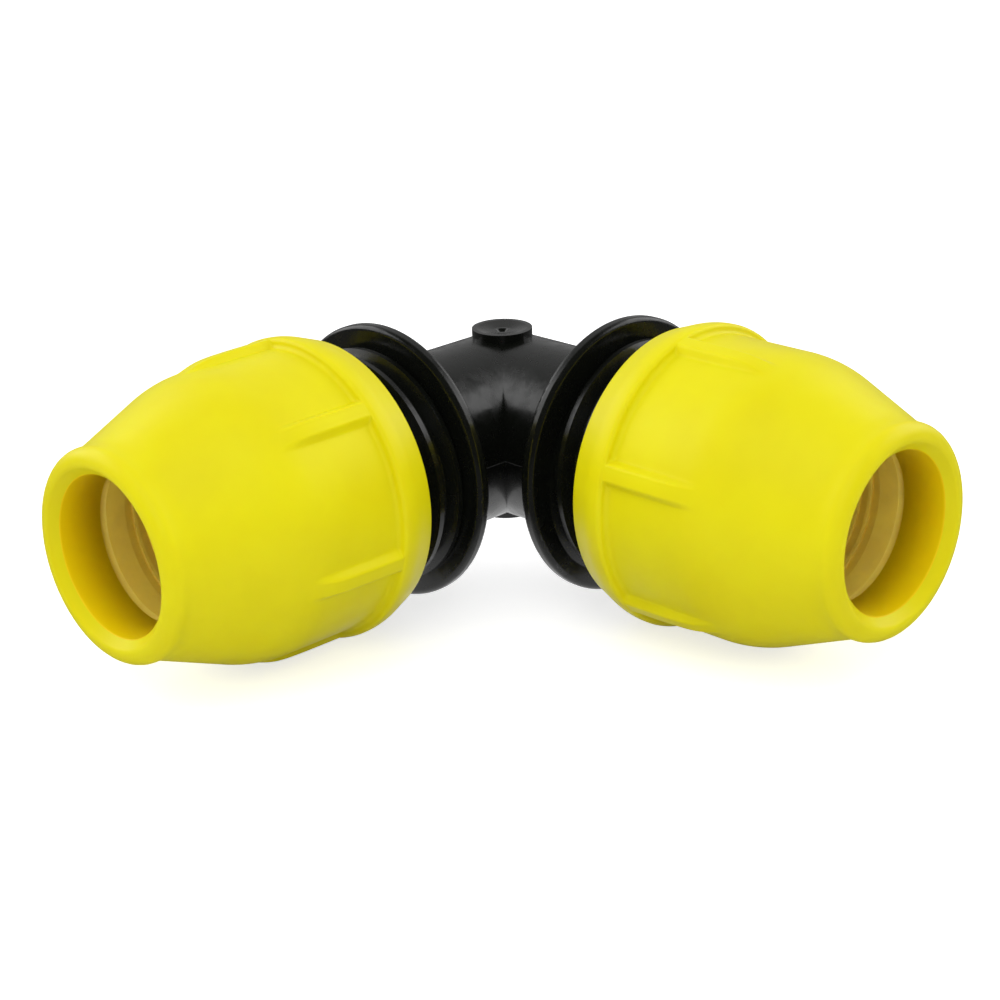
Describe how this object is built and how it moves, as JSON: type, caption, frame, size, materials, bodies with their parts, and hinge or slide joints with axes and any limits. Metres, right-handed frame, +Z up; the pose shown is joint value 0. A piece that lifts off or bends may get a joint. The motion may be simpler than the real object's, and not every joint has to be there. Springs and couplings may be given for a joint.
{
  "type": "gas pipe elbow",
  "caption": "Right-angle compression elbow for plastic gas pipe: black moulded body with threaded spigots, ribbed yellow domed nuts that screw on, and a split grip ring in each.",
  "frame": {"origin": "middle of the base of the whole part's box, on the surface that it lies on", "axes": "+Z up, square to the plane of the two arms; the right arm's mouth faces +X and the left arm's mouth faces -Y"},
  "size_m": [0.1437, 0.1455, 0.066],
  "materials": {
    "black_plastic": "gloss black moulding",
    "yellow_plastic": "satin yellow moulding",
    "natural_plastic": "uncoloured, slightly cloudy",
    "white_plastic": "matt white",
    "seal_rubber": "matt black rubber"
  },
  "bodies": {
    "elbow": {"elbow_body": "black_plastic", "right_thrust_ring": "white_plastic", "right_seal": "seal_rubber", "right_stiffener": "white_plastic", "left_thrust_ring": "white_plastic", "left_seal": "seal_rubber", "left_stiffener": "white_plastic"},
    "right_grip_ring_body": {"right_grip_ring": "natural_plastic"},
    "right_nut_body": {"right_nut": "yellow_plastic"},
    "left_grip_ring_body": {"left_grip_ring": "natural_plastic"},
    "left_nut_body": {"left_nut": "yellow_plastic"}
  },
  "joints": [
    {"name": "right_nut_travel", "type": "slide", "parent": "elbow", "child": "right_grip_ring_body", "axis": [1, 0, 0], "range_m": [-0.00977, 0.00948]},
    {"name": "right_nut_turn", "type": "hinge", "parent": "right_grip_ring_body", "child": "right_nut_body", "pos_m": [-0.03885, 0.03975, 0.033], "axis": [1, 0, 0], "range_deg": [-650, 630]},
    {"name": "left_nut_travel", "type": "slide", "parent": "elbow", "child": "left_grip_ring_body", "axis": [0, -1, 0], "range_m": [-0.01158, 0.00766]},
    {"name": "left_nut_turn", "type": "hinge", "parent": "left_grip_ring_body", "child": "left_nut_body", "pos_m": [-0.03885, 0.03975, 0.033], "axis": [0, -1, 0], "range_deg": [-773, 507]}
  ],
  "couplings": [
    {"joint": "right_nut_travel", "follows": "right_nut_turn", "m_per_rad": 0.00084352},
    {"joint": "left_nut_travel", "follows": "left_nut_turn", "m_per_rad": 0.00084352}
  ]
}
